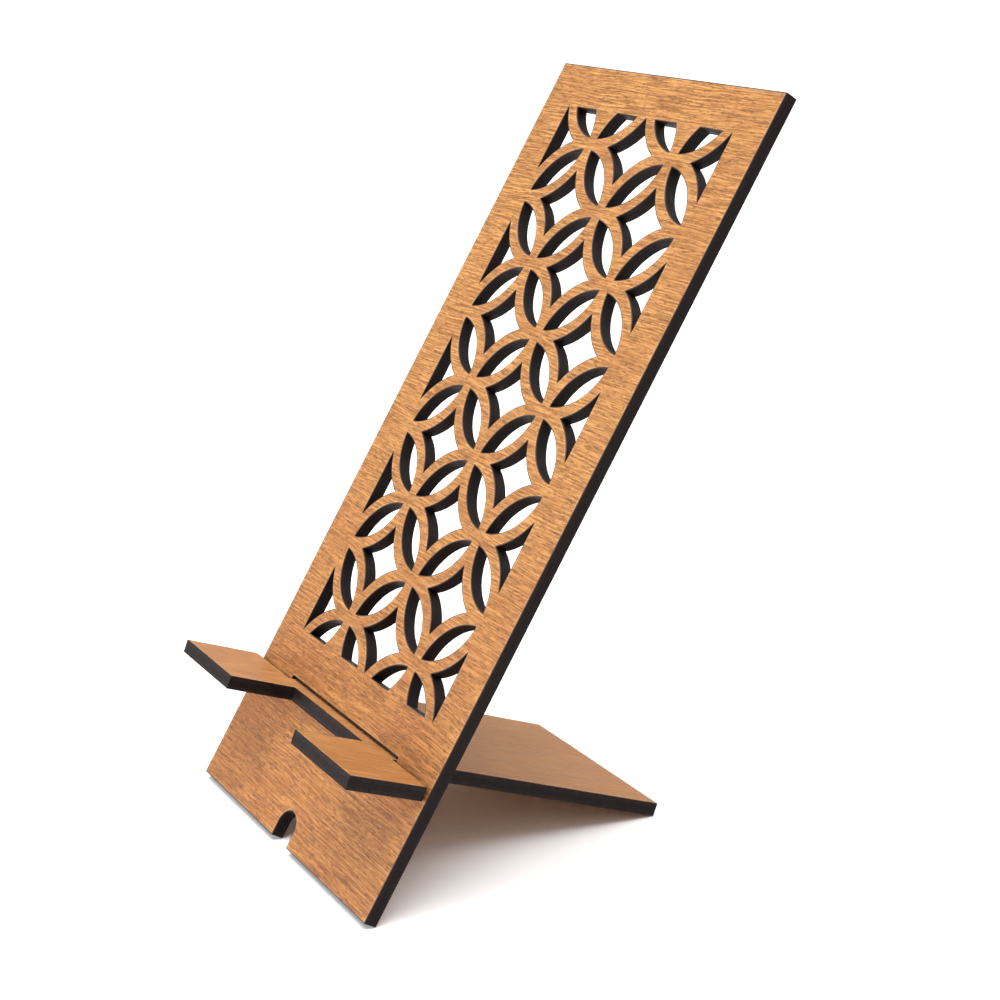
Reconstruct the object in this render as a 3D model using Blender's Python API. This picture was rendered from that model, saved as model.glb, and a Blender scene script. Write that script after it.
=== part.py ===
"""Slot-together plywood stand: a pierced back panel and a forked support that passes through it.

Both pieces are flat boards cut from one sheet. The panel leans back and the support slopes down
behind it, so each holds the other up. No glue or fastener joins them.

Frame: +X across the panel, +Y to the back, +Z up. The origin is on the table, under the middle of
the stand's bounding box.
"""

import math

import bmesh
import bpy
from mathutils import Matrix, Vector

# Driving dimensions, in metres and radians.
BOARD_THICKNESS = 0.0031
FIT_GAP = 0.00025

PANEL_WIDTH = 0.080
PANEL_HEIGHT = 0.188
PANEL_LEAN = math.radians(30.0)

SLOT_WIDTH = 0.050
SLOT_TOP_HEIGHT = 0.0313

NOTCH_WIDTH = 0.0071
NOTCH_DEPTH = 0.0071

RING_RADIUS = 0.015
BAR_WIDTH = 0.003
LATTICE_COLUMNS = 4
LATTICE_ROWS = 8
LATTICE_TOP_MARGIN = 0.0103

SUPPORT_SLOPE = math.radians(20.0)
LEG_SIDE_GAP = 0.0003
HEAD_WIDTH = 0.0815
HEAD_OFFSET = -0.00125
HEAD_DEPTH = 0.0190
PRONG_GAP_WIDTH = 0.0323
PRONG_GAP_DEPTH = 0.0168
SHOULDER_RADIUS = 0.0007

ARC_STEPS_PER_TURN = 40

# Worked out from the driving dimensions.
RING_INNER = RING_RADIUS - BAR_WIDTH / 2
RING_OUTER = RING_RADIUS + BAR_WIDTH / 2
STAR_REACH = RING_RADIUS - math.sqrt(RING_OUTER**2 - RING_RADIUS**2)
LATTICE_HALF_HEIGHT = RING_RADIUS * LATTICE_ROWS / 2 + STAR_REACH
LATTICE_CENTRE_HEIGHT = PANEL_HEIGHT - LATTICE_TOP_MARGIN - LATTICE_HALF_HEIGHT

CROSSING = PANEL_LEAN - SUPPORT_SLOPE
BOARD_IN_SLOT = BOARD_THICKNESS * (1 + math.sin(CROSSING)) / math.cos(CROSSING)
SLOT_HEIGHT = BOARD_IN_SLOT + 2 * FIT_GAP / math.cos(CROSSING)
SLOT_CENTRE_HEIGHT = SLOT_TOP_HEIGHT - SLOT_HEIGHT / 2
SHOULDER_REACH = SLOT_HEIGHT / 2
LEG_WIDTH = SLOT_WIDTH - 2 * LEG_SIDE_GAP

PANEL_UP = Vector((0, math.sin(PANEL_LEAN), math.cos(PANEL_LEAN)))
PANEL_FRONT = Vector((0, -math.cos(PANEL_LEAN), math.sin(PANEL_LEAN)))
SUPPORT_REAR = Vector((0, math.cos(SUPPORT_SLOPE), -math.sin(SUPPORT_SLOPE)))
SUPPORT_TOP = Vector((0, math.sin(SUPPORT_SLOPE), math.cos(SUPPORT_SLOPE)))

# With the panel's back bottom edge on the line Y = 0, Z = 0.
PANEL_FOOT = PANEL_FRONT * (BOARD_THICKNESS / 2)
SLOT_CENTRE = PANEL_FOOT + PANEL_UP * SLOT_CENTRE_HEIGHT
LEG_REACH = (SLOT_CENTRE.z - SUPPORT_TOP.z * BOARD_THICKNESS / 2) / -SUPPORT_REAR.z

HEAD_TIP = SLOT_CENTRE - SUPPORT_REAR * (SHOULDER_REACH + HEAD_DEPTH)
STAND_FRONT = (HEAD_TIP - SUPPORT_TOP * (BOARD_THICKNESS / 2)).y
STAND_BACK = (PANEL_UP * PANEL_HEIGHT).y
STAND_LEFT = HEAD_OFFSET - HEAD_WIDTH / 2
STAND_RIGHT = PANEL_WIDTH / 2
TO_ORIGIN = Vector((-(STAND_LEFT + STAND_RIGHT) / 2, -(STAND_FRONT + STAND_BACK) / 2, 0))


def clear_scene():
    """Removes every object that the scene starts with."""
    for thing in list(bpy.data.objects):
        bpy.data.objects.remove(thing, do_unlink=True)


def make_collection(name):
    """Adds a collection to the scene and returns it."""
    collection = bpy.data.collections.new(name)
    bpy.context.scene.collection.children.link(collection)
    return collection


def make_wood(name, colour, roughness):
    """Returns a plain Principled material for one board."""
    material = bpy.data.materials.new(name)
    material.use_nodes = True
    shader = material.node_tree.nodes["Principled BSDF"]
    shader.inputs["Base Color"].default_value = (*colour, 1.0)
    shader.inputs["Roughness"].default_value = roughness
    shader.inputs["Metallic"].default_value = 0.0
    return material


def arc(centre, radius, start, end):
    """Returns points along an arc, both ends included; angles are in radians."""
    steps = max(2, round(abs(end - start) / math.tau * ARC_STEPS_PER_TURN))
    angles = [start + (end - start) * step / steps for step in range(steps + 1)]
    return [
        (centre[0] + radius * math.cos(angle), centre[1] + radius * math.sin(angle))
        for angle in angles
    ]


def moved(points, across, up):
    """Returns the points moved in the board's plane."""
    return [(x + across, y + up) for x, y in points]


def turned(points, angle):
    """Returns the points turned about the outline's own zero."""
    c, s = math.cos(angle), math.sin(angle)
    return [(x * c - y * s, x * s + y * c) for x, y in points]


def cut_below(points, limit):
    """Returns the part of a convex outline that lies at or below the limit."""
    kept = []
    for (x0, y0), (x1, y1) in zip(points, points[1:] + points[:1]):
        if y0 <= limit:
            kept.append((x0, y0))
        if (y0 <= limit) != (y1 <= limit):
            share = (limit - y0) / (y1 - y0)
            kept.append((x0 + (x1 - x0) * share, limit))
    return kept


def petal():
    """Returns the leaf-shaped hole where two rings cross, lying along X."""
    offset = RING_RADIUS / math.sqrt(2)
    half_angle = math.acos(offset / RING_INNER)
    side = arc((0, -offset), RING_INNER, math.pi / 2 - half_angle, math.pi / 2 + half_angle)
    return side[:-1] + turned(side, math.pi)[:-1]


def star_side():
    """Returns the hollow side of the four-pointed hole between its +X and +Y tips."""
    tip_angle = math.atan2(RING_RADIUS - STAR_REACH, RING_RADIUS)
    corner = (RING_RADIUS, RING_RADIUS)
    return arc(corner, RING_OUTER, 1.5 * math.pi - tip_angle, math.pi + tip_angle)


def star():
    """Returns the four-pointed hole in the middle of a ring."""
    quarters = [turned(star_side(), quarter * math.pi / 2)[:-1] for quarter in range(4)]
    return [point for side in quarters for point in side]


def half_star():
    """Returns the half of the four-pointed hole on the +X side of its middle."""
    return turned(star_side(), -math.pi / 2)[:-1] + star_side()


def petal_at(column, row):
    """Returns the petal of one lattice cell, counted from the lattice's lower left."""
    direction = math.radians(135 if (column + row) % 2 == 0 else 45)
    across = (column - (LATTICE_COLUMNS - 1) / 2) * RING_RADIUS
    up = (row - (LATTICE_ROWS - 1) / 2) * RING_RADIUS
    return moved(turned(petal(), direction), across, up)


def star_holes():
    """Returns the stars, whole inside the lattice and halved along its two long sides."""
    holes = []
    for column in range(LATTICE_COLUMNS + 1):
        for row in range(LATTICE_ROWS + 1):
            if (column + row) % 2:
                continue
            across = (column - LATTICE_COLUMNS / 2) * RING_RADIUS
            up = (row - LATTICE_ROWS / 2) * RING_RADIUS
            if column == 0:
                outline = half_star()
            elif column == LATTICE_COLUMNS:
                outline = turned(half_star(), math.pi)
            else:
                outline = star()
            holes.append(moved(outline, across, up))
    return holes


def lattice_holes():
    """Returns every hole of the lattice, about the lattice's own middle."""
    holes = star_holes()
    for column in range(LATTICE_COLUMNS):
        for row in range(LATTICE_ROWS):
            holes.append(petal_at(column, row))
        top_petal = cut_below(petal_at(column, LATTICE_ROWS), LATTICE_HALF_HEIGHT)
        holes.append(top_petal)
        holes.append(turned(top_petal, math.pi))
    return holes


def panel_outline():
    """Returns the panel's edge, with the round-topped cable notch in its foot."""
    half = PANEL_WIDTH / 2
    notch_radius = NOTCH_WIDTH / 2
    arch = arc((0, NOTCH_DEPTH - notch_radius), notch_radius, math.pi, 0)
    foot = [(-half, 0), (-notch_radius, 0), *arch, (notch_radius, 0), (half, 0)]
    return foot + [(half, PANEL_HEIGHT), (-half, PANEL_HEIGHT)]


def slot_outline():
    """Returns the slot that the support's leg passes through."""
    half = SLOT_WIDTH / 2
    low = SLOT_CENTRE_HEIGHT - SLOT_HEIGHT / 2
    high = SLOT_CENTRE_HEIGHT + SLOT_HEIGHT / 2
    return [(-half, low), (half, low), (half, high), (-half, high)]


def support_outline():
    """Returns the support's edge; zero is in the slot and +Y runs to the back along the leg."""
    leg = LEG_WIDTH / 2
    left = HEAD_OFFSET - HEAD_WIDTH / 2
    right = HEAD_OFFSET + HEAD_WIDTH / 2
    gap_left = HEAD_OFFSET - PRONG_GAP_WIDTH / 2
    gap_right = HEAD_OFFSET + PRONG_GAP_WIDTH / 2
    shoulder = -SHOULDER_REACH
    tip = shoulder - HEAD_DEPTH
    gap_end = tip + PRONG_GAP_DEPTH
    round_y = shoulder - SHOULDER_RADIUS
    left_round = arc((left + SHOULDER_RADIUS, round_y), SHOULDER_RADIUS, math.pi / 2, math.pi)
    right_round = arc((right - SHOULDER_RADIUS, round_y), SHOULDER_RADIUS, 0, math.pi / 2)
    rear = [(leg, shoulder), (leg, LEG_REACH), (-leg, LEG_REACH), (-leg, shoulder)]
    prongs = [
        (left, tip),
        (gap_left, tip),
        (gap_left, gap_end),
        (gap_right, gap_end),
        (gap_right, tip),
        (right, tip),
    ]
    return rear + left_round + prongs + right_round


def make_board(name, outlines, matrix, material, collection):
    """Cuts one flat board: the first outline is its edge and the others are holes."""
    curve = bpy.data.curves.new(name + "_outline", "CURVE")
    curve.dimensions = "2D"
    curve.fill_mode = "BOTH"
    curve.extrude = BOARD_THICKNESS / 2
    for outline in outlines:
        spline = curve.splines.new("POLY")
        spline.points.add(len(outline) - 1)
        for point, (x, y) in zip(spline.points, outline):
            point.co = (x, y, 0, 1)
        spline.use_cyclic_u = True
    drawn = bpy.data.objects.new(name + "_outline", curve)
    collection.objects.link(drawn)
    bpy.context.view_layer.update()
    depsgraph = bpy.context.evaluated_depsgraph_get()
    mesh = bpy.data.meshes.new_from_object(drawn.evaluated_get(depsgraph))
    bpy.data.objects.remove(drawn, do_unlink=True)
    weld_caps(mesh)
    mesh.name = name
    mesh.materials.clear()
    mesh.materials.append(material)
    board = bpy.data.objects.new(name, mesh)
    board.matrix_world = matrix
    collection.objects.link(board)
    return board


def weld_caps(mesh):
    """Joins the loose caps of an extruded outline to its walls, facing out."""
    cap_gap = 0.00001
    work = bmesh.new()
    work.from_mesh(mesh)
    bmesh.ops.remove_doubles(work, verts=work.verts, dist=cap_gap)
    bmesh.ops.recalc_face_normals(work, faces=work.faces)
    work.to_mesh(mesh)
    work.free()


def place(origin, up_the_board, out_of_the_board):
    """Returns the matrix of a board whose local Y and Z run along the two directions."""
    rotation = Matrix((Vector((1, 0, 0)), up_the_board, out_of_the_board)).transposed()
    return Matrix.Translation(origin + TO_ORIGIN) @ rotation.to_4x4()


def build_back_panel(collection):
    """Builds the leaning panel with its lattice, slot and cable notch."""
    wood = make_wood("panel_wood", (0.56, 0.27, 0.10), 0.5)
    holes = [moved(hole, 0, LATTICE_CENTRE_HEIGHT) for hole in lattice_holes()]
    outlines = [panel_outline(), slot_outline(), *holes]
    matrix = place(PANEL_FOOT, PANEL_UP, PANEL_FRONT)
    return make_board("back_panel", outlines, matrix, wood, collection)


def build_support(collection):
    """Builds the forked support; its origin is on the line that it slides along."""
    wood = make_wood("support_wood", (0.60, 0.31, 0.14), 0.45)
    matrix = place(SLOT_CENTRE, SUPPORT_REAR, SUPPORT_TOP)
    return make_board("support", [support_outline()], matrix, wood, collection)


def main():
    """Builds the stand."""
    clear_scene()
    stand = make_collection("slot_together_stand")
    build_back_panel(stand)
    build_support(stand)


main()
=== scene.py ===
"""Looks of a slot-together plywood stand: a pierced back panel held up by a forked support.

Both boards are laser-cut from stained plywood. Each is built here as a fine mesh with softened,
scorched edges, and it stands for the plain board of the same name in the frame.
"""

import logging
import math
from dataclasses import dataclass, field
from enum import Enum

import bmesh
import bpy
from mathutils import Matrix, Quaternion, Vector


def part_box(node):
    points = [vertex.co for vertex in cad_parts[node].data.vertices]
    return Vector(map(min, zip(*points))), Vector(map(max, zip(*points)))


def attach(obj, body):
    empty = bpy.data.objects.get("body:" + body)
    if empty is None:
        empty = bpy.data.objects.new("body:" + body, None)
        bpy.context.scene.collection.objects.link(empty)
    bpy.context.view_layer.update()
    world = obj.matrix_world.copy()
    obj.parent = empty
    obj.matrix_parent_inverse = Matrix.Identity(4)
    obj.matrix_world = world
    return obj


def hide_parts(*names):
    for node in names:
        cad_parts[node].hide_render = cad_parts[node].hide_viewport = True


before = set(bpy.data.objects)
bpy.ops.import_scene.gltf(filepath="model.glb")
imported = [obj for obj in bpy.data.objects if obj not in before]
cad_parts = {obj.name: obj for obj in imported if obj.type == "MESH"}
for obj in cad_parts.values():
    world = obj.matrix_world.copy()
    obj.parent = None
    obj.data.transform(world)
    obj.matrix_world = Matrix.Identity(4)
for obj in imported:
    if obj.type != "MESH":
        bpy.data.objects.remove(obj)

LOG = logging.getLogger("stand")
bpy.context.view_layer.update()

Point = tuple[float, float]
Outline = list[Point]
Triple = tuple[float, float, float]
Colour = tuple[float, float, float]
Paint = tuple[float, float, float, float]
Band = tuple[float, float]
Socket = bpy.types.NodeSocket
Value = float | Socket
Tone = Paint | Socket

MM = 0.001
CUT_DISTANCE = "cut_distance"
FACE_SLOT = 0
EDGE_SLOT = 1
FULL: Band = (0.0, 1.0)
REVERSED: Band = (1.0, 0.0)
QUARTER_TURN = math.pi / 2


class Grain(Enum):
    """The way a board's face veneer runs."""

    ACROSS = "across"
    ALONG = "along"


# ---------------------------------------------------------------- outlines


def arc(
    centre: Point,
    radius: float,
    start: float,
    end: float,
    step: float = 0.06,
) -> Outline:
    """Walks along a circular arc.

    Args:
        centre: Middle of the circle.
        radius: Radius of the circle.
        start: First angle, in radians.
        end: Last angle, in radians.
        step: Largest turn between two points, in radians.

    Returns:
        Points along the arc, both ends included.
    """
    count = max(3, math.ceil(abs(end - start) / step))
    angles = [start + (end - start) * i / count for i in range(count + 1)]
    return [(centre[0] + radius * math.cos(a), centre[1] + radius * math.sin(a)) for a in angles]


def straight(first: Point, last: Point, step: float = 2 * MM) -> Outline:
    """Divides a straight edge, so that its scorch can vary along it.

    Args:
        first: Start of the edge.
        last: End of the edge.
        step: Longest piece of the edge.

    Returns:
        Points from first up to, but not including, last.
    """
    count = max(1, math.ceil(math.dist(first, last) / step))
    shares = [i / count for i in range(count)]
    width, rise = last[0] - first[0], last[1] - first[1]
    return [(first[0] + width * share, first[1] + rise * share) for share in shares]


def divided(corners: Outline) -> Outline:
    """Divides every edge of a closed outline."""
    edges = zip(corners, corners[1:] + corners[:1])
    return [point for first, last in edges for point in straight(first, last)]


def moved(points: Outline, across: float, up: float) -> Outline:
    """Moves an outline in its board's plane."""
    return [(x + across, y + up) for x, y in points]


def turned(points: Outline, angle: float) -> Outline:
    """Turns an outline about its own zero."""
    c, s = math.cos(angle), math.sin(angle)
    return [(x * c - y * s, x * s + y * c) for x, y in points]


def cut_below(points: Outline, limit: float) -> Outline:
    """Cuts a convex outline along a level line.

    Args:
        points: The outline.
        limit: Height of the line.

    Returns:
        The part of the outline at or below the line.
    """
    kept: Outline = []
    for (x0, y0), (x1, y1) in zip(points, points[1:] + points[:1]):
        if y0 <= limit:
            kept.append((x0, y0))
        if (y0 <= limit) != (y1 <= limit):
            share = (limit - y0) / (y1 - y0)
            kept.append((x0 + (x1 - x0) * share, limit))
    return kept


def stepped_in(
    points: Outline,
    width: float,
    stretch: float = 1.3,
    least_cosine: float = 0.05,
) -> Outline:
    """Steps an outline into the wood on its left.

    Args:
        points: The outline.
        width: How far to step.
        stretch: Longest step at a corner that sticks into the wood, against the width.
        least_cosine: Least cosine of half a corner's turn, which keeps the sharpest tips finite.

    Returns:
        The stepped outline, point for point.
    """
    stepped = []
    for before, here, after in zip(points[-1:] + points[:-1], points, points[1:] + points[:1]):
        first = (Vector(here) - Vector(before)).normalized()
        last = (Vector(after) - Vector(here)).normalized()
        normal, heading = Vector((-first.y, first.x)), first + last
        middle = Vector((-heading.y, heading.x)).normalized()
        step = width / max(middle.dot(normal), least_cosine)
        if first.cross(last) < 0:
            step = min(step, stretch * width)
        stepped.append(tuple(Vector(here) + middle * step))
    return stepped


def wound(points: Outline, leftwards: bool) -> Outline:
    """Runs a closed outline the given way round.

    Args:
        points: The outline.
        leftwards: True for anticlockwise.

    Returns:
        The same outline, reversed if need be.
    """
    pairs = zip(points, points[1:] + points[:1])
    area = sum(x0 * y1 - x1 * y0 for (x0, y0), (x1, y1) in pairs)
    return points if (area > 0) == leftwards else points[::-1]


@dataclass(frozen=True)
class RingLattice:
    """The pierced pattern: rings of one size, each crossing its four diagonal neighbours."""

    ring_radius: float = 15 * MM
    bar_width: float = 3 * MM
    columns: int = 4
    rows: int = 8

    @property
    def inner(self) -> float:
        """Radius of a ring's inner edge."""
        return self.ring_radius - self.bar_width / 2

    @property
    def outer(self) -> float:
        """Radius of a ring's outer edge."""
        return self.ring_radius + self.bar_width / 2

    @property
    def star_reach(self) -> float:
        """Distance from a star's middle to its tips."""
        return self.ring_radius - math.sqrt(self.outer**2 - self.ring_radius**2)

    @property
    def half_height(self) -> float:
        """Half the height of the whole pattern."""
        return self.ring_radius * self.rows / 2 + self.star_reach

    def petal(self) -> Outline:
        """Draws the leaf-shaped hole where two rings cross, lying along X.

        Returns:
            The hole, about its own middle.
        """
        offset = self.ring_radius / math.sqrt(2)
        half = math.acos(offset / self.inner)
        side = arc((0, -offset), self.inner, math.pi / 2 - half, math.pi / 2 + half)
        return side[:-1] + turned(side, math.pi)[:-1]

    def star_side(self) -> Outline:
        """Draws the hollow side of a star between its +X and +Y tips.

        Returns:
            Points from the +X tip to the +Y tip.
        """
        tip = math.atan2(self.ring_radius - self.star_reach, self.ring_radius)
        corner = (self.ring_radius, self.ring_radius)
        return arc(corner, self.outer, 1.5 * math.pi - tip, math.pi + tip)

    def star(self) -> Outline:
        """Draws the four-pointed hole in the middle of a ring."""
        quarters = [turned(self.star_side(), i * QUARTER_TURN)[:-1] for i in range(4)]
        return [point for side in quarters for point in side]

    def half_star(self) -> Outline:
        """Draws the half of a star on the +X side of its middle."""
        curved = turned(self.star_side(), -QUARTER_TURN)[:-1] + self.star_side()[:-1]
        return curved + straight((0, self.star_reach), (0, -self.star_reach))

    def petal_at(self, column: int, row: int) -> Outline:
        """Draws the petal of one cell.

        Args:
            column: Cell across, from the left.
            row: Cell upwards, from the bottom.

        Returns:
            The petal, about the pattern's middle.
        """
        direction = math.radians(135 if (column + row) % 2 == 0 else 45)
        across = (column - (self.columns - 1) / 2) * self.ring_radius
        up = (row - (self.rows - 1) / 2) * self.ring_radius
        return moved(turned(self.petal(), direction), across, up)

    def star_at(self, column: int, row: int) -> Outline:
        """Draws the star of one ring, halved along the pattern's two long sides.

        Args:
            column: Ring across, from the left side.
            row: Ring upwards, from the bottom.

        Returns:
            The star, about the pattern's middle.
        """
        outline = self.star()
        if column == 0:
            outline = self.half_star()
        elif column == self.columns:
            outline = turned(self.half_star(), math.pi)
        across = (column - self.columns / 2) * self.ring_radius
        up = (row - self.rows / 2) * self.ring_radius
        return moved(outline, across, up)

    def holes(self) -> list[Outline]:
        """Draws every hole of the pattern.

        Returns:
            The holes, about the pattern's middle.
        """
        holes = []
        for column in range(self.columns + 1):
            rings = [row for row in range(self.rows + 1) if (column + row) % 2 == 0]
            holes += [self.star_at(column, row) for row in rings]
        for column in range(self.columns):
            holes += [self.petal_at(column, row) for row in range(self.rows)]
            top = cut_below(self.petal_at(column, self.rows), self.half_height)
            holes += [top, turned(top, math.pi)]
        return holes


# ---------------------------------------------------------------- shader nodes


@dataclass(frozen=True)
class Pattern:
    """A noise pattern: waves per metre along X, Y and Z, its octaves, and the finer ones' share."""

    waves: Triple
    octaves: float = 2.0
    finer: float = 0.5


class NodeDesk:
    """Adds nodes to one shader tree and links them up."""

    def __init__(self, tree: bpy.types.NodeTree) -> None:
        """Keeps the tree to work in."""
        self.tree = tree

    def add(
        self,
        kind: str,
        inputs: dict[str | int, Value | tuple] | None = None,
        **settings: str | bpy.types.NodeTree,
    ) -> bpy.types.Node:
        """Adds one node.

        Args:
            kind: Node type, without its "ShaderNode" prefix.
            inputs: Values or sockets for the node's inputs, by name or number.
            **settings: Properties to set on the node.

        Returns:
            The new node.
        """
        node = self.tree.nodes.new("ShaderNode" + kind)
        for name, value in settings.items():
            setattr(node, name, value)
        for name, value in (inputs or {}).items():
            if isinstance(value, Socket):
                self.tree.links.new(value, node.inputs[name])
            else:
                node.inputs[name].default_value = value
        return node

    def link(self, node: bpy.types.Node, sockets: dict[str, Socket]) -> None:
        """Links sockets to a node's inputs, by name."""
        for name, socket in sockets.items():
            self.tree.links.new(socket, node.inputs[name])

    def maths(self, operation: str, first: Value, second: Value = 0.0) -> Socket:
        """Adds a Math node and returns its value."""
        return self.add("Math", {0: first, 1: second}, operation=operation).outputs[0]

    def product(self, first: Value, *others: Value) -> Socket:
        """Multiplies values together.

        Args:
            first: First value.
            *others: The values to multiply it by.

        Returns:
            The product's socket.
        """
        for other in others:
            first = self.maths("MULTIPLY", first, other)
        return first

    def less(self, first: Value, second: Value) -> Socket:
        """Takes the second value from the first."""
        return self.maths("SUBTRACT", first, second)

    def gap(self, first: Value, second: Value) -> Socket:
        """Measures how far apart two values are."""
        return self.maths("ABSOLUTE", self.less(first, second))

    def ramp(self, value: Value, band: Band, out: Band = FULL) -> Socket:
        """Maps a value smoothly from one range to another.

        Args:
            value: Value to map.
            band: Inputs that give the two ends of the output.
            out: Outputs at those ends.

        Returns:
            The mapped value's socket.
        """
        values = {"Value": value, 1: band[0], 2: band[1], 3: out[0], 4: out[1]}
        return self.add("MapRange", values, interpolation_type="SMOOTHSTEP").outputs[0]

    def mix(self, share: Value, first: Tone, second: Tone, blend: str = "MIX") -> Socket:
        """Mixes two colours.

        Args:
            share: How much of the second colour.
            first: First colour.
            second: Second colour.
            blend: Blend mode.

        Returns:
            The mixed colour's socket.
        """
        values = {0: share, 6: first, 7: second}
        return self.add("Mix", values, data_type="RGBA", blend_type=blend).outputs[2]

    def noise(self, vector: Socket, pattern: Pattern) -> Socket:
        """Adds a noise pattern stretched by its own frequency on each axis.

        Args:
            vector: Coordinates, in metres.
            pattern: The pattern.

        Returns:
            The noise value's socket.
        """
        waves = self.add("VectorMath", {0: vector, 1: pattern.waves}, operation="MULTIPLY")
        values = {
            "Vector": waves.outputs[0],
            "Scale": 1.0,
            "Detail": pattern.octaves,
            "Roughness": pattern.finer,
        }
        return self.add("TexNoise", values).outputs[0]


def new_group(
    name: str,
    inputs: dict[str, float | tuple],
    outputs: tuple[str, ...],
) -> tuple[NodeDesk, bpy.types.Node, bpy.types.Node]:
    """Makes an empty shader node group.

    Args:
        name: Name of the group.
        inputs: Default of each input: one number, three for a vector, or four for a colour.
        outputs: Names of the outputs. The one named Color is a colour, the others are values.

    Returns:
        The group's desk, its input node and its output node.
    """
    kinds = {3: "NodeSocketVector", 4: "NodeSocketColor"}
    tree = bpy.data.node_groups.new(name, "ShaderNodeTree")
    for label, default in inputs.items():
        single = isinstance(default, float)
        kind = "NodeSocketFloat" if single else kinds[len(default)]
        socket = tree.interface.new_socket(label, in_out="INPUT", socket_type=kind)
        socket.default_value = default
    for label in outputs:
        kind = "NodeSocketColor" if label == "Color" else "NodeSocketFloat"
        tree.interface.new_socket(label, in_out="OUTPUT", socket_type=kind)
    given = tree.nodes.new("NodeGroupInput")
    return NodeDesk(tree), given, tree.nodes.new("NodeGroupOutput")


@dataclass(frozen=True)
class StainedVeneer:
    """The shared effect of a stained face: blotches, fibre streaks and short pores along X, with
    painted shade where asked.
    """

    wander: Pattern = Pattern((25.0, 70.0, 70.0))
    wander_reach: float = 3 * MM
    fibres: Pattern = Pattern((85.0, 2500.0, 600.0), 3.0, 0.6)
    pores: Pattern = Pattern((620.0, 3900.0, 900.0), 1.0)
    flecks: Pattern = Pattern((520.0, 3600.0, 900.0), 1.0)
    patches: Pattern = Pattern((70.0, 95.0, 75.0), 3.0, 0.6)
    clouds: Pattern = Pattern((22.0, 30.0, 22.0))
    rings: Pattern = Pattern((34.0, 1250.0, 300.0), 1.0)
    breaks: Pattern = Pattern((380.0, 1700.0, 600.0), 2.0, 0.6)
    fibre_band: Band = (0.39, 0.61)
    patch_band: Band = (0.42, 0.66)
    cloud_band: Band = (0.40, 0.65)
    cloud_depth: Band = (0.0, 0.2)
    fleck_band: Band = (0.50, 0.66)
    ring_band: Band = (0.0, 0.055)
    break_band: Band = (0.42, 0.56)
    pore_band: Band = (0.52, 0.70)
    relief_band: Band = (0.3, 0.7)
    relief: Band = (0.0, 0.35)
    roughness: Band = (0.42, 0.58)
    # Painted shade: the tint that darkens and saturates the stain where shade is painted in.
    shade_tint: Paint = (0.83, 0.70, 0.54, 1.0)
    paler: Paint = (1.22, 1.24, 1.28, 1.0)

    def build(self) -> bpy.types.NodeTree:
        """Builds the node group.

        Returns:
            The group, which puts out a colour, a roughness and a height.
        """
        inputs = {
            "Vector": (0.0, 0.0, 0.0),
            "Light": (0.70, 0.38, 0.15, 1.0),
            "Dark": (0.45, 0.20, 0.07, 1.0),
            "Red": (0.55, 0.24, 0.11, 1.0),
            "Pore": (0.12, 0.045, 0.02, 1.0),
            "Pores": 0.5,
            "Lines": 0.3,
            "Blotches": 0.5,
            "Fade": 0.0,
        }
        outputs = ("Color", "Roughness", "Height")
        desk, given, result = new_group("stained_veneer", inputs, outputs)
        ask = given.outputs
        vector = ask["Vector"]
        bend = desk.product(desk.less(desk.noise(vector, self.wander), 0.5), self.wander_reach)
        shift = desk.add("CombineXYZ", {1: bend}).outputs[0]
        place = desk.add("VectorMath", {0: vector, 1: shift}, operation="ADD").outputs[0]
        fibres = desk.noise(place, self.fibres)
        stain = desk.mix(desk.ramp(fibres, self.fibre_band), ask["Dark"], ask["Light"])
        patches = desk.ramp(desk.noise(vector, self.patches), self.patch_band)
        stain = desk.mix(desk.product(patches, ask["Blotches"]), stain, ask["Red"])
        clouds = desk.noise(vector, self.clouds)
        stain = desk.mix(desk.ramp(clouds, self.cloud_band, self.cloud_depth), stain, ask["Red"])
        # Painted shade: multiplies the stain by the shade tint, by the share given on the shade
        # input.
        stain = desk.mix(ask["Fade"], stain, desk.mix(1.0, stain, self.shade_tint, "MULTIPLY"))
        flecks = desk.ramp(desk.noise(place, self.flecks), self.fleck_band)
        paler = desk.mix(1.0, stain, self.paler, "MULTIPLY")
        stain = desk.mix(desk.product(flecks, ask["Pores"]), stain, paler)
        rings = desk.ramp(desk.gap(desk.noise(place, self.rings), 0.5), self.ring_band, REVERSED)
        breaks = desk.ramp(desk.noise(place, self.breaks), self.break_band)
        stain = desk.mix(desk.product(rings, breaks, ask["Lines"]), stain, ask["Pore"])
        pores = desk.ramp(desk.noise(place, self.pores), self.pore_band)
        pores = desk.product(pores, ask["Pores"])
        ridges = desk.ramp(fibres, self.relief_band, self.relief)
        looks = {
            "Color": desk.mix(pores, stain, ask["Pore"]),
            "Roughness": desk.ramp(fibres, self.relief_band, self.roughness),
            "Height": desk.less(ridges, pores),
        }
        desk.link(result, looks)
        return desk.tree


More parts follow.
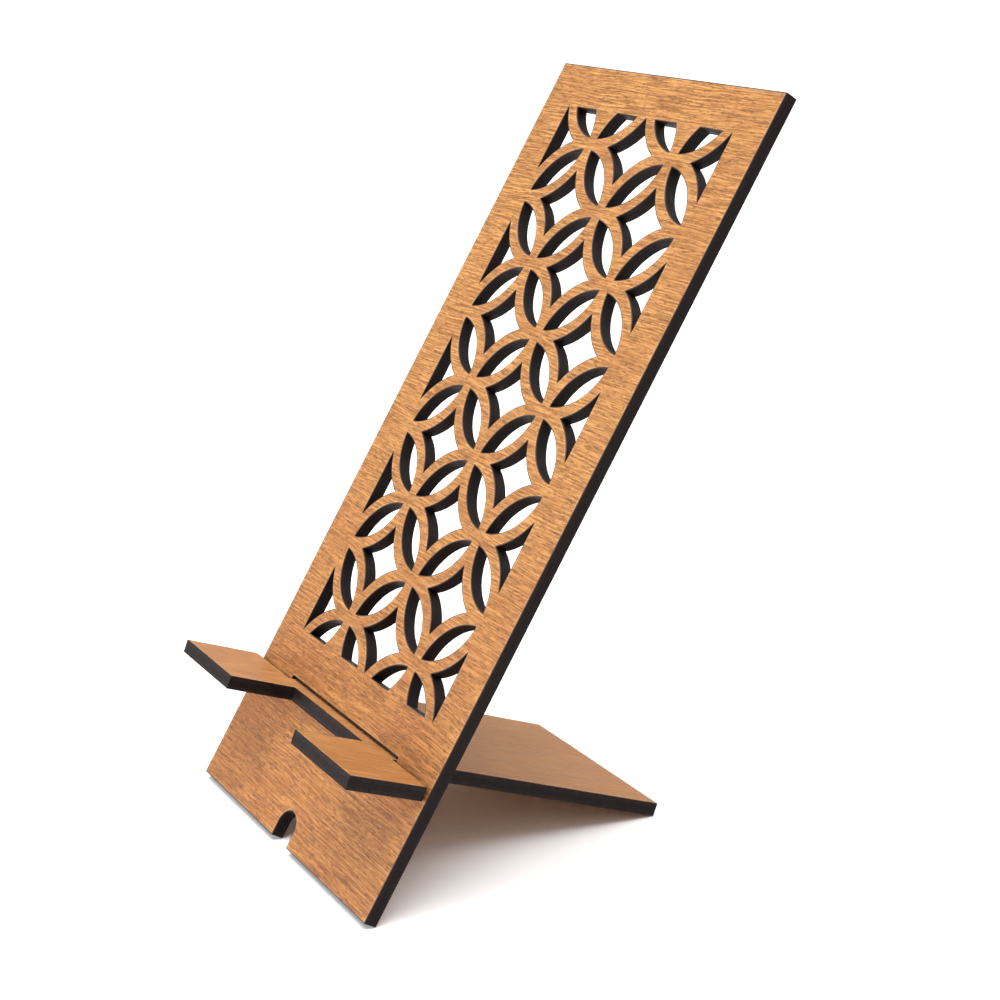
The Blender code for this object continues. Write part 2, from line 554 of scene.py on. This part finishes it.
@dataclass(frozen=True)
class LaserScorch:
    """The shared effect of heat beside a cut: a burnt arris, then a paler, smoke-dried rim."""

    unrest: Pattern = Pattern((420.0, 420.0, 420.0), 3.0, 0.6)
    unrest_band: Band = (0.3, 0.7)
    rim_reach: Band = (0.3, 0.95)
    rim_band: Band = (0.0, 0.8)
    burn_band: Band = (0.19, 0.32)

    def build(self) -> bpy.types.NodeTree:
        """Builds the node group; its distances from the cut are in millimetres.

        Returns:
            The group, which puts out the scorched colour.
        """
        inputs = {
            "Color": (0.6, 0.3, 0.1, 1.0),
            "Vector": (0.0, 0.0, 0.0),
            "Cut Distance": 1.0,
            "Burn": (0.045, 0.018, 0.009, 1.0),
            "Rim": (0.72, 0.47, 0.27, 1.0),
            "Rim Strength": 0.5,
        }
        desk, given, result = new_group("laser_scorch", inputs, ("Color",))
        ask = given.outputs
        distance = ask["Cut Distance"]
        unrest = desk.noise(ask["Vector"], self.unrest)
        reach = desk.ramp(unrest, self.unrest_band, self.rim_reach)
        rim = desk.less(1.0, desk.maths("DIVIDE", distance, reach))
        rim = desk.product(desk.ramp(rim, self.rim_band), ask["Rim Strength"])
        burn = desk.ramp(distance, self.burn_band, REVERSED)
        colour = desk.mix(rim, ask["Color"], ask["Rim"])
        desk.link(result, {"Color": desk.mix(burn, colour, ask["Burn"])})
        return desk.tree


@dataclass(frozen=True)
class CharredCut:
    """The shared effect of a laser-charred edge: soot with beam lines, and the glued plies."""

    beams: Pattern = Pattern((2300.0, 2300.0, 120.0), 2.0, 0.6)
    soot: Pattern = Pattern((260.0, 260.0, 500.0), 3.0, 0.6)
    noise_band: Band = (0.3, 0.7)
    glue_band: Band = (0.04, 0.16)
    glue_loss: float = 0.6
    glue_relief: float = 0.5
    core_band: Band = (0.40, 0.62)
    core_loss: float = 0.45
    ash_band: Band = (0.3, 0.72)
    ash_depth: Band = (0.15, 1.0)
    beam_depth: Band = (0.55, 1.0)
    roughness: Band = (0.5, 0.72)

    def build(self) -> bpy.types.NodeTree:
        """Builds the node group; its heights through the board are in millimetres.

        Returns:
            The group, which puts out a colour, a roughness and a height.
        """
        inputs = {
            "Vector": (0.0, 0.0, 0.0),
            "Soot": (0.010, 0.008, 0.008, 1.0),
            "Ash": (0.055, 0.045, 0.042, 1.0),
            "Ply": 0.52,
            "Ashiness": 0.5,
        }
        outputs = ("Color", "Roughness", "Height")
        desk, given, result = new_group("charred_cut", inputs, outputs)
        ask = given.outputs
        beams = desk.noise(ask["Vector"], self.beams)
        soot = desk.noise(ask["Vector"], self.soot)
        level = desk.add("SeparateXYZ", {0: ask["Vector"]}).outputs["Z"]
        level = desk.maths("ABSOLUTE", desk.product(level, 1 / MM))
        glue = desk.ramp(desk.gap(level, ask["Ply"]), self.glue_band, REVERSED)
        core = desk.ramp(level, self.core_band, REVERSED)
        ash = desk.product(
            desk.ramp(soot, self.ash_band, self.ash_depth),
            ask["Ashiness"],
            desk.less(1.0, desk.product(core, self.core_loss)),
            desk.ramp(beams, self.noise_band, self.beam_depth),
            desk.less(1.0, desk.product(glue, self.glue_loss)),
        )
        looks = {
            "Color": desk.mix(ash, ask["Soot"], ask["Ash"]),
            "Roughness": desk.ramp(soot, self.noise_band, self.roughness),
            "Height": desk.less(beams, desk.product(glue, self.glue_relief)),
        }
        desk.link(result, looks)
        return desk.tree


@dataclass(frozen=True)
class EffectGroups:
    """The node groups that the finishes share."""

    veneer: bpy.types.NodeTree
    scorch: bpy.types.NodeTree
    char: bpy.types.NodeTree


def start_material(name: str) -> tuple[bpy.types.Material, NodeDesk, bpy.types.Node]:
    """Makes a material that holds only its Principled shader and its output.

    Args:
        name: Name of the material.

    Returns:
        The material, a desk for its tree, and its Principled shader.
    """
    material = bpy.data.materials.new(name)
    material.use_nodes = True
    shader = material.node_tree.nodes["Principled BSDF"]
    return material, NodeDesk(material.node_tree), shader


@dataclass(frozen=True)
class VeneerFinish:
    """The stained and lightly waxed face of a board, with painted shade that ramps along one axis.
    """

    name: str
    grain: Grain
    light: Colour
    dark: Colour
    red: Colour
    pore: Colour
    pores: float
    lines: float
    blotches: float
    rim_strength: float
    shade_axis: str
    shade_start: float
    shade_end: float
    shade_depth: float
    specular: float
    bump_strength: float = 0.35
    bump_depth: float = 0.06 * MM

    def build(self, groups: EffectGroups) -> bpy.types.Material:
        """Builds the material.

        Args:
            groups: The shared node groups.

        Returns:
            The face material.
        """
        material, desk, shader = start_material(self.name)
        place = desk.add("TexCoord").outputs["Object"]
        turn = 0.0 if self.grain is Grain.ACROSS else math.pi / 2
        lie = desk.add("Mapping", {"Vector": place, "Rotation": (0.0, 0.0, turn)}).outputs[0]
        # Painted shade: a ramp along one of the board's own axes, strongest at its start and gone
        # at its end.
        along = desk.add("SeparateXYZ", {0: place}).outputs[self.shade_axis]
        painted_shade = desk.ramp(along, (self.shade_start, self.shade_end), (self.shade_depth, 0.0))
        stain = {
            "Vector": lie,
            "Light": (*self.light, 1.0),
            "Dark": (*self.dark, 1.0),
            "Red": (*self.red, 1.0),
            "Pore": (*self.pore, 1.0),
            "Pores": self.pores,
            "Lines": self.lines,
            "Blotches": self.blotches,
            "Fade": painted_shade,
        }
        veneer = desk.add("Group", stain, node_tree=groups.veneer)
        distance = desk.add("Attribute", attribute_name=CUT_DISTANCE).outputs["Fac"]
        heat = {
            "Color": veneer.outputs["Color"],
            "Vector": place,
            "Cut Distance": distance,
            "Rim Strength": self.rim_strength,
        }
        scorch = desk.add("Group", heat, node_tree=groups.scorch)
        relief = {"Strength": self.bump_strength, "Distance": self.bump_depth}
        bump = desk.add("Bump", {**relief, "Height": veneer.outputs["Height"]})
        looks = {
            "Base Color": scorch.outputs["Color"],
            "Roughness": veneer.outputs["Roughness"],
            "Normal": bump.outputs[0],
        }
        desk.link(shader, looks)
        shader.inputs["Specular IOR Level"].default_value = self.specular
        return material


@dataclass(frozen=True)
class CharFinish:
    """The charred cut edge of a board."""

    name: str
    ashiness: float
    soot: Colour = (0.0065, 0.0035, 0.0036)
    ash: Colour = (0.036, 0.025, 0.022)
    specular: float = 0.11
    bump_strength: float = 0.5
    bump_depth: float = 0.05 * MM

    def build(self, groups: EffectGroups) -> bpy.types.Material:
        """Builds the material.

        Args:
            groups: The shared node groups.

        Returns:
            The cut-edge material.
        """
        material, desk, shader = start_material(self.name)
        burn = {
            "Vector": desk.add("TexCoord").outputs["Object"],
            "Soot": (*self.soot, 1.0),
            "Ash": (*self.ash, 1.0),
            "Ashiness": self.ashiness,
        }
        char = desk.add("Group", burn, node_tree=groups.char)
        relief = {"Strength": self.bump_strength, "Distance": self.bump_depth}
        bump = desk.add("Bump", {**relief, "Height": char.outputs["Height"]})
        looks = {
            "Base Color": char.outputs["Color"],
            "Roughness": char.outputs["Roughness"],
            "Normal": bump.outputs[0],
        }
        desk.link(shader, looks)
        shader.inputs["Specular IOR Level"].default_value = self.specular
        return material


# ---------------------------------------------------------------- boards


@dataclass(frozen=True)
class PlySheet:
    """The 3 mm plywood that both boards are cut from, and the way its cut edges are worn."""

    thickness: float = 3.1 * MM
    arris_drop: float = 0.06 * MM
    rim: tuple[float, ...] = (0.09 * MM, 0.25 * MM, 0.5 * MM, 0.9 * MM)
    ply_lines: tuple[float, ...] = (0.95 * MM, 0.52 * MM, 0.0, -0.52 * MM, -0.95 * MM)
    sharp_angle: float = math.radians(28)
    weld: float = 0.002 * MM

    def cut(self, name: str, outlines: list[Outline]) -> bpy.types.Object:
        """Cuts one board out of the sheet, lying flat with its middle plane at Z = 0.

        Args:
            name: Name of the piece.
            outlines: The board's edge, then its holes.

        Returns:
            The board, with its faces in one material slot and its cut edges in the other.
        """
        outlines = [wound(outline, number == 0) for number, outline in enumerate(outlines)]
        work = bmesh.new()
        distance = work.verts.layers.float.new(CUT_DISTANCE)
        for side in (1, -1):
            self.fill_face(work, outlines, side)
        for point in work.verts:
            point[distance] = self.rim[-1] / MM
        for outline in outlines:
            self.wrap_edge(work, distance, outline)
        bmesh.ops.remove_doubles(work, verts=work.verts, dist=self.weld)
        bmesh.ops.recalc_face_normals(work, faces=work.faces)
        mesh = bpy.data.meshes.new(name)
        work.to_mesh(mesh)
        work.free()
        mesh.shade_smooth()
        mesh.set_sharp_from_angle(angle=self.sharp_angle)
        board = bpy.data.objects.new(name, mesh)
        bpy.context.scene.collection.objects.link(board)
        return board

    def fill_face(self, work: bmesh.types.BMesh, outlines: list[Outline], side: int) -> None:
        """Fills the flat inside of one face, short of the rims of its cuts.

        Args:
            work: Mesh to add to.
            outlines: The board's edge and holes.
            side: 1 for the upper face, -1 for the lower one.
        """
        curve = bpy.data.curves.new("face", "CURVE")
        curve.dimensions = "2D"
        curve.fill_mode = "BOTH"
        for outline in outlines:
            spline = curve.splines.new("POLY")
            spline.points.add(len(outline) - 1)
            for point, (x, y) in zip(spline.points, stepped_in(outline, self.rim[-1])):
                point.co = (x, y, 0.0, 1.0)
            spline.use_cyclic_u = True
        drawn = bpy.data.objects.new("face", curve)
        bpy.context.scene.collection.objects.link(drawn)
        depsgraph = bpy.context.evaluated_depsgraph_get()
        filled = bpy.data.meshes.new_from_object(drawn.evaluated_get(depsgraph))
        filled.transform(Matrix.Translation((0, 0, side * self.thickness / 2)))
        work.from_mesh(filled)
        bpy.data.objects.remove(drawn, do_unlink=True)
        bpy.data.curves.remove(curve)
        bpy.data.meshes.remove(filled)

    def profile(self) -> list[Point]:
        """Draws the section of a cut edge, from top to bottom.

        Returns:
            Steps into the wood, each with its height above the board's middle.
        """
        half = self.thickness / 2
        upper = [(step, half) for step in reversed(self.rim)]
        plies = [(0.0, height) for height in self.ply_lines]
        wall = [(0.0, half - self.arris_drop), *plies, (0.0, self.arris_drop - half)]
        return upper + wall + [(step, -half) for step in self.rim]

    def wrap_edge(
        self,
        work: bmesh.types.BMesh,
        distance: bmesh.types.BMLayerItem,
        outline: Outline,
    ) -> None:
        """Wraps the rims, the softened arrises and the cut wall round one outline.

        Args:
            work: Mesh to add to.
            distance: Layer for each point's distance from the cut, in mm.
            outline: The outline, with the wood on its left.
        """
        rows = []
        profile = self.profile()
        for step, height in profile:
            row = [work.verts.new((x, y, height)) for x, y in stepped_in(outline, step)]
            for point in row:
                point[distance] = step / MM
            rows.append(row)
        for (first, _), (last, _), upper, lower in zip(profile, profile[1:], rows, rows[1:]):
            slot = EDGE_SLOT if first == last == 0.0 else FACE_SLOT
            corners = zip(upper, upper[1:] + upper[:1], lower[1:] + lower[:1], lower)
            for quad in corners:
                work.faces.new(quad).material_index = slot


def lay_board(board: bpy.types.Object, origin: Vector, up: Vector, out: Vector) -> None:
    """Puts a board in its place.

    Args:
        board: The board.
        origin: Where its own zero goes.
        up: Direction of its own Y.
        out: Direction of its own Z.
    """
    rotation = Matrix((Vector((1, 0, 0)), up, out)).transposed()
    board.matrix_world = Matrix.Translation(origin) @ rotation.to_4x4()


def report(board: bpy.types.Object) -> None:
    """Logs a piece's name and its number of faces."""
    LOG.info("%s: %d faces", board.name, len(board.data.polygons))


@dataclass
class BackPanel:
    """The tall leaning board with its ring lattice, its slot and its cable notch."""

    sheet: PlySheet
    lean: float = math.radians(30)
    width: float = 80 * MM
    height: float = 188 * MM
    slot_width: float = 49.7 * MM
    slot_top: float = 31.2 * MM
    slot_height: float = 4.1 * MM
    notch_width: float = 7.1 * MM
    notch_depth: float = 7.1 * MM
    notch_step: float = 0.16
    lattice_margin: float = 10.3 * MM
    lattice: RingLattice = field(default_factory=RingLattice)

    def edge(self) -> Outline:
        """Draws the board's edge, with the round-topped notch in its foot.

        Returns:
            The edge, with zero at the middle of the foot and Y upwards.
        """
        half = self.width / 2
        radius = self.notch_width / 2
        arch = arc((0, self.notch_depth - radius), radius, math.pi, 0, self.notch_step)
        edge = straight((-half, 0), (-radius, 0)) + straight((-radius, 0), arch[0])
        edge += arch + straight((radius, arch[-1][1]), (radius, 0))[1:]
        edge += straight((radius, 0), (half, 0)) + straight((half, 0), (half, self.height))
        edge += straight((half, self.height), (-half, self.height))
        return edge + straight((-half, self.height), (-half, 0))

    def slot(self) -> Outline:
        """Draws the slot that the support passes through.

        Returns:
            The slot, in the same plane as the board's edge.
        """
        half = self.slot_width / 2
        low = self.slot_top - self.slot_height
        return divided([(-half, low), (half, low), (half, self.slot_top), (-half, self.slot_top)])

    def build(self, face: bpy.types.Material, cut: bpy.types.Material) -> bpy.types.Object:
        """Builds the panel on its foot.

        Args:
            face: Material of its faces.
            cut: Material of its cut edges.

        Returns:
            The finished piece.
        """
        middle = self.height - self.lattice_margin - self.lattice.half_height
        holes = [moved(hole, 0, middle) for hole in self.lattice.holes()]
        panel = self.sheet.cut("lattice_panel", [self.edge(), self.slot(), *holes])
        panel.data.materials.append(face)
        panel.data.materials.append(cut)
        low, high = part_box("back_panel")
        up = Vector((0, math.sin(self.lean), math.cos(self.lean)))
        out = Vector((0, -math.cos(self.lean), math.sin(self.lean)))
        heel = Vector(((low[0] + high[0]) / 2, low[1] - out.y * self.sheet.thickness, low[2]))
        lay_board(panel, heel + out * (self.sheet.thickness / 2), up, out)
        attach(panel, "back_panel")
        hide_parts("back_panel")
        report(panel)
        return panel


@dataclass
class ForkedSupport:
    """The sloping board: two prongs make the ledge, and its leg runs down to the table behind."""

    sheet: PlySheet
    slope: float = math.radians(20)
    leg_width: float = 49.4 * MM
    leg_length: float = 74.04 * MM
    head_width: float = 81.5 * MM
    head_offset: float = -1.25 * MM
    head_depth: float = 19.0 * MM
    gap_width: float = 32.3 * MM
    gap_depth: float = 16.8 * MM
    shoulder_radius: float = 0.7 * MM
    shoulder_step: float = 0.2

    def edge(self) -> Outline:
        """Draws the board's edge.

        Returns:
            The edge, with zero at the middle of the leg's rear end and Y backwards.
        """
        leg = self.leg_width / 2
        left, right = (self.head_offset + s * self.head_width / 2 for s in (-1, 1))
        gap_left, gap_right = (self.head_offset + s * self.gap_width / 2 for s in (-1, 1))
        shoulder = -self.leg_length
        tip = shoulder - self.head_depth
        gap_end = tip + self.gap_depth
        radius, step = self.shoulder_radius, self.shoulder_step
        middle = shoulder - radius
        left_round = arc((left + radius, middle), radius, math.pi / 2, math.pi, step)
        right_round = arc((right - radius, middle), radius, 0, math.pi / 2, step)
        corners = [(leg, shoulder), (leg, 0.0), (-leg, 0.0), (-leg, shoulder), *left_round]
        corners += [(left, tip), (gap_left, tip), (gap_left, gap_end), (gap_right, gap_end)]
        corners += [(gap_right, tip), (right, tip), *right_round]
        return divided(corners)

    def build(self, face: bpy.types.Material, cut: bpy.types.Material) -> bpy.types.Object:
        """Builds the support through the panel's slot.

        Args:
            face: Material of its faces.
            cut: Material of its cut edges.

        Returns:
            The finished piece.
        """
        support = self.sheet.cut("forked_support", [self.edge()])
        support.data.materials.append(face)
        support.data.materials.append(cut)
        low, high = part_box("support")
        rear = Vector((0, math.cos(self.slope), -math.sin(self.slope)))
        top = Vector((0, math.sin(self.slope), math.cos(self.slope)))
        across = low[0] + self.head_width / 2 - self.head_offset
        half = self.sheet.thickness / 2
        heel = Vector((across, high[1] - top.y * half, low[2] + top.z * half))
        lay_board(support, heel, rear, top)
        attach(support, "support")
        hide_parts("support")
        report(support)
        return support


# ---------------------------------------------------------------- studio


@dataclass
class Studio:
    """A pale table, a soft sun above a pale sky, and the camera."""

    azimuth: float = math.radians(61.14)
    elevation: float = math.radians(15.81)
    roll: float = math.radians(0.97)
    distance: float = 0.4030
    aim: Triple = (0.00524, -0.02345, 0.08793)
    lens: float = 68.88
    shift: Point = (0.115, -0.045)
    sky_low: float = 0.12
    sky_high: float = 1.0
    clip_start: float = 0.01
    sun_from: Triple = (0.1, -0.1, 1.0)
    sun_strength: float = 2.95
    sun_spread: float = math.radians(50)
    fill_size: float = 1.0
    front_place: Triple = (-0.35, -1.3, 0.45)
    front_power: float = 19.0
    rear_place: Triple = (0.15, 1.25, 0.7)
    rear_power: float = 4.3
    table_reach: float = 6.0
    table_drop: float = 0.1 * MM
    table_colour: Colour = (0.93, 0.93, 0.93)
    table_roughness: float = 0.9
    table_specular: float = 0.1

    def build(self) -> None:
        """Builds the whole studio."""
        self.build_table()
        self.build_sky()
        self.build_sun()
        self.build_fill("front_fill", Vector(self.front_place), self.front_power)
        self.build_fill("rear_fill", Vector(self.rear_place), self.rear_power)
        self.build_camera()

    def build_table(self) -> None:
        """Lays the table under the stand."""
        mesh = bpy.data.meshes.new("table")
        work = bmesh.new()
        bmesh.ops.create_grid(work, x_segments=1, y_segments=1, size=self.table_reach)
        work.to_mesh(mesh)
        work.free()
        table = bpy.data.objects.new("table", mesh)
        table.location.z = -self.table_drop
        bpy.context.scene.collection.objects.link(table)
        material, _, shader = start_material("pale_table")
        shader.inputs["Base Color"].default_value = (*self.table_colour, 1.0)
        shader.inputs["Roughness"].default_value = self.table_roughness
        shader.inputs["Specular IOR Level"].default_value = self.table_specular
        mesh.materials.append(material)

    def build_sky(self) -> None:
        """Lights the scene from a sky that is dim at the horizon, behind a plain white surround."""
        world = bpy.data.worlds.new("white_room")
        world.use_nodes = True
        desk = NodeDesk(world.node_tree)
        sky = world.node_tree.nodes["Background"]
        direction = desk.add("TexCoord").outputs["Generated"]
        height = desk.add("SeparateXYZ", {0: direction}).outputs["Z"]
        strength = desk.add("MapRange", {0: height, 3: self.sky_low, 4: self.sky_high}).outputs[0]
        seen = desk.add("LightPath").outputs["Is Camera Ray"]
        strength = desk.add("Mix", {0: seen, 2: strength, 3: 1.0}).outputs[0]
        sky.inputs["Color"].default_value = (1.0, 1.0, 1.0, 1.0)
        desk.tree.links.new(strength, sky.inputs["Strength"])
        bpy.context.scene.world = world

    def build_sun(self) -> None:
        """Adds the broad, soft main light."""
        light = bpy.data.lights.new("soft_sun", "SUN")
        light.energy = self.sun_strength
        light.angle = self.sun_spread
        lamp = bpy.data.objects.new("soft_sun", light)
        lamp.rotation_euler = Vector(self.sun_from).to_track_quat("Z", "Y").to_euler()
        bpy.context.scene.collection.objects.link(lamp)

    def build_fill(self, name: str, place: Vector, power: float) -> None:
        """Adds a large, low light, so that the wood isn't lost under the prongs or the panel.

        Args:
            name: Name of the light.
            place: Where it stands.
            power: Power, in watts.
        """
        light = bpy.data.lights.new(name, "AREA")
        light.size = self.fill_size
        light.energy = power
        lamp = bpy.data.objects.new(name, light)
        lamp.location = place
        lamp.rotation_euler = place.to_track_quat("Z", "Y").to_euler()
        bpy.context.scene.collection.objects.link(lamp)

    def build_camera(self) -> None:
        """Sets up the camera and the way its picture is shown."""
        turn, rise = self.azimuth, self.elevation
        level = math.cos(rise)
        back = Vector((math.sin(turn) * level, -math.cos(turn) * level, math.sin(rise)))
        data = bpy.data.cameras.new("camera")
        data.lens = self.lens
        data.shift_x, data.shift_y = self.shift
        data.clip_start = self.clip_start
        camera = bpy.data.objects.new("camera", data)
        camera.location = Vector(self.aim) + back * self.distance
        facing = back.to_track_quat("Z", "Y") @ Quaternion((0, 0, 1), self.roll)
        camera.rotation_euler = facing.to_euler()
        bpy.context.scene.collection.objects.link(camera)
        bpy.context.scene.camera = camera
        bpy.context.scene.view_settings.view_transform = "Standard"


def build_finishes() -> dict[str, bpy.types.Material]:
    """Builds the face and cut-edge materials of both boards.

    Returns:
        The materials, by board and surface.
    """
    groups = EffectGroups(StainedVeneer().build(), LaserScorch().build(), CharredCut().build())
    panel_face = VeneerFinish(
        name="panel_veneer",
        grain=Grain.ACROSS,
        light=(0.462, 0.221, 0.066),
        dark=(0.238, 0.099, 0.025),
        red=(0.305, 0.119, 0.034),
        pore=(0.085, 0.028, 0.009),
        pores=0.64,
        lines=0.5,
        blotches=0.38,
        rim_strength=0.22,
        # Painted shade: darker and redder towards the panel's foot, gone 120 mm up.
        shade_axis="Y",
        shade_start=0.0,
        shade_end=0.12,
        shade_depth=0.8,
        specular=0.35,
    )
    support_face = VeneerFinish(
        name="support_veneer",
        grain=Grain.ALONG,
        light=(0.50, 0.238, 0.084),
        dark=(0.33, 0.146, 0.048),
        red=(0.36, 0.142, 0.042),
        pore=(0.14, 0.052, 0.019),
        pores=0.22,
        lines=0.24,
        blotches=0.3,
        rim_strength=0.5,
        # Painted shade: darker towards the right prong, standing in for light that falls from the
        # left.
        shade_axis="X",
        shade_start=0.037,
        shade_end=0.010,
        shade_depth=0.6,
        specular=0.3,
    )
    return {
        "panel_face": panel_face.build(groups),
        "support_face": support_face.build(groups),
        "panel_cut": CharFinish("panel_cut_edge", ashiness=0.35).build(groups),
        "support_cut": CharFinish("support_cut_edge", ashiness=0.65).build(groups),
    }


def main() -> None:
    """Builds the stand, piece by piece, and its studio."""
    logging.basicConfig(level=logging.INFO, format="%(name)s: %(message)s")
    finishes = build_finishes()
    sheet = PlySheet()
    BackPanel(sheet).build(finishes["panel_face"], finishes["panel_cut"])
    ForkedSupport(sheet).build(finishes["support_face"], finishes["support_cut"])
    Studio().build()


if __name__ == "__main__":
    main()
